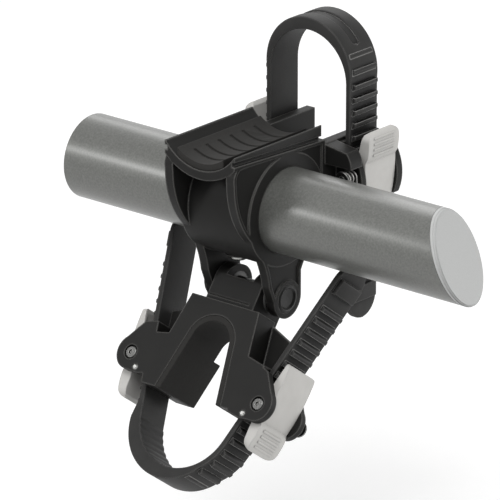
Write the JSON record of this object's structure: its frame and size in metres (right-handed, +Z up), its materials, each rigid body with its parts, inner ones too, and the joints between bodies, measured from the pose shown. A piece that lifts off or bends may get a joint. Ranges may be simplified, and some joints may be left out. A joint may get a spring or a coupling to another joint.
{
  "type": "hitch bike carrier cradle arm",
  "caption": "Arm end of a hitch bike carrier with its moulded cradle, toothed hold-down strap, lever buckles and hinged anti-sway cage.",
  "frame": {"origin": "centre of the arm's inboard end, where the mast's bolt goes in", "axes": "+X along the arm to its free end, +Y along the bike's top tube, +Z up"},
  "size_m": [0.2166, 0.1236, 0.1956],
  "materials": {
    "arm_finish": "fine hammertone, satin",
    "steel": "zinc-plated, satin",
    "pivot_steel": "black, semi-gloss",
    "plug_plastic": "moulded, satin",
    "moulding": "moulded, fine grain, satin edges",
    "soft_pad": "soft, matt",
    "strap_rubber": "moulded, satin",
    "lever_plastic": "moulded, satin",
    "spring_wire": "bright wire",
    "bush_plastic": "moulded, smooth"
  },
  "bodies": {
    "carrier": {"arm_tube": "arm_finish", "arm_insert": "steel", "arm_end_plug": "plug_plastic", "cradle_body": "moulding", "cradle_screw": "steel", "saddle_pad": "soft_pad", "main_strap": "strap_rubber", "cage_pivot_pin": "pivot_steel", "cage_pivot_cap": "pivot_steel", "cage_washer": "steel", "front_lever_spring": "spring_wire", "front_guide_pin": "steel", "rear_lever_spring": "spring_wire", "rear_guide_pin": "steel"},
    "cage": {"cage_yoke": "moulding", "cage_liner": "soft_pad", "sway_strap": "strap_rubber", "cage_front_bush": "bush_plastic", "cage_rear_bush": "bush_plastic", "cage_front_lever_spring": "spring_wire", "cage_front_guide_pin": "steel", "cage_rear_lever_spring": "spring_wire", "cage_rear_guide_pin": "steel"},
    "front_buckle": {"front_lever": "lever_plastic", "front_lever_pin": "steel", "front_lever_retainer": "steel"},
    "rear_buckle": {"rear_lever": "lever_plastic", "rear_lever_pin": "steel", "rear_lever_retainer": "steel"},
    "cage_front_buckle": {"cage_front_lever": "lever_plastic", "cage_front_lever_pin": "steel", "cage_front_lever_retainer": "steel"},
    "cage_rear_buckle": {"cage_rear_lever": "lever_plastic", "cage_rear_lever_pin": "steel", "cage_rear_lever_retainer": "steel"}
  },
  "joints": [
    {"name": "cage_pivot", "type": "hinge", "parent": "carrier", "child": "cage", "pos_m": [0.112, 0.0005, -0.041], "axis": [1, 0, 0], "range_deg": [-45, 13]},
    {"name": "front_lever_press", "type": "hinge", "parent": "carrier", "child": "front_buckle", "pos_m": [0.1215, 0.047, 0.009], "axis": [0, -1, 0], "range_deg": [0, 16], "stiffness_Nm_per_rad": 0.04, "springref_deg": -28.65},
    {"name": "rear_lever_press", "type": "hinge", "parent": "carrier", "child": "rear_buckle", "pos_m": [0.0635, 0.047, 0.009], "axis": [0, 1, 0], "range_deg": [0, 16], "stiffness_Nm_per_rad": 0.04, "springref_deg": -28.65},
    {"name": "cage_front_lever_press", "type": "hinge", "parent": "cage", "child": "cage_front_buckle", "pos_m": [0.1291, -0.02893, -0.08151], "axis": [0, 0.809, -0.5878], "range_deg": [0, 16], "stiffness_Nm_per_rad": 0.04, "springref_deg": -28.65},
    {"name": "cage_rear_lever_press", "type": "hinge", "parent": "cage", "child": "cage_rear_buckle", "pos_m": [0.05441, -0.02567, -0.07702], "axis": [0, -0.809, 0.5878], "range_deg": [0, 16], "stiffness_Nm_per_rad": 0.04, "springref_deg": -28.65}
  ]
}
